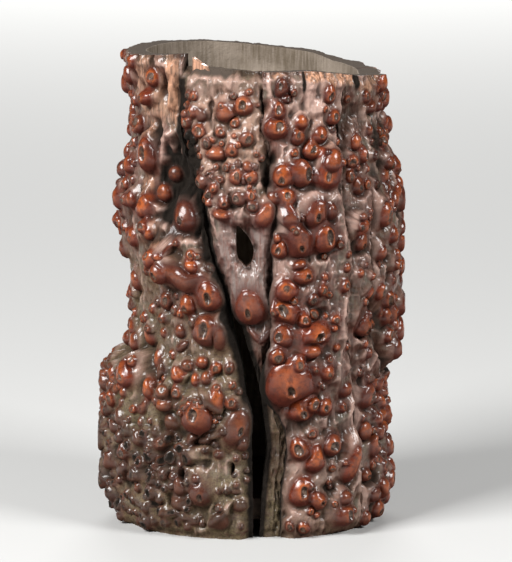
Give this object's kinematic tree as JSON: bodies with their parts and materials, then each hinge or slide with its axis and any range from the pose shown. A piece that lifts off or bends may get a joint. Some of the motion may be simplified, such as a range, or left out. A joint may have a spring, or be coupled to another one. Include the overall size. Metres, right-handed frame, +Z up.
{
  "type": "brush pot",
  "caption": "Brush pot of knotted root wood: knobbed root stems grown together round an open well, with a deep cleft and a hole at the front and a wood board as its floor.",
  "frame": {"origin": "middle of the outline, on the surface that the pot stands on", "axes": "+Z up along the well, -Y towards the front with the cleft and the hole, +X to the right seen from the front"},
  "size_m": [0.132, 0.1136, 0.2044],
  "materials": {
    "root": "satin",
    "board": "matt"
  },
  "bodies": {
    "root": {"left_root": "root", "centre_root": "root", "front_root": "root", "right_root": "root", "side_root": "root", "back_right_root": "root", "back_left_root": "root", "floor_board": "board"}
  },
  "joints": []
}
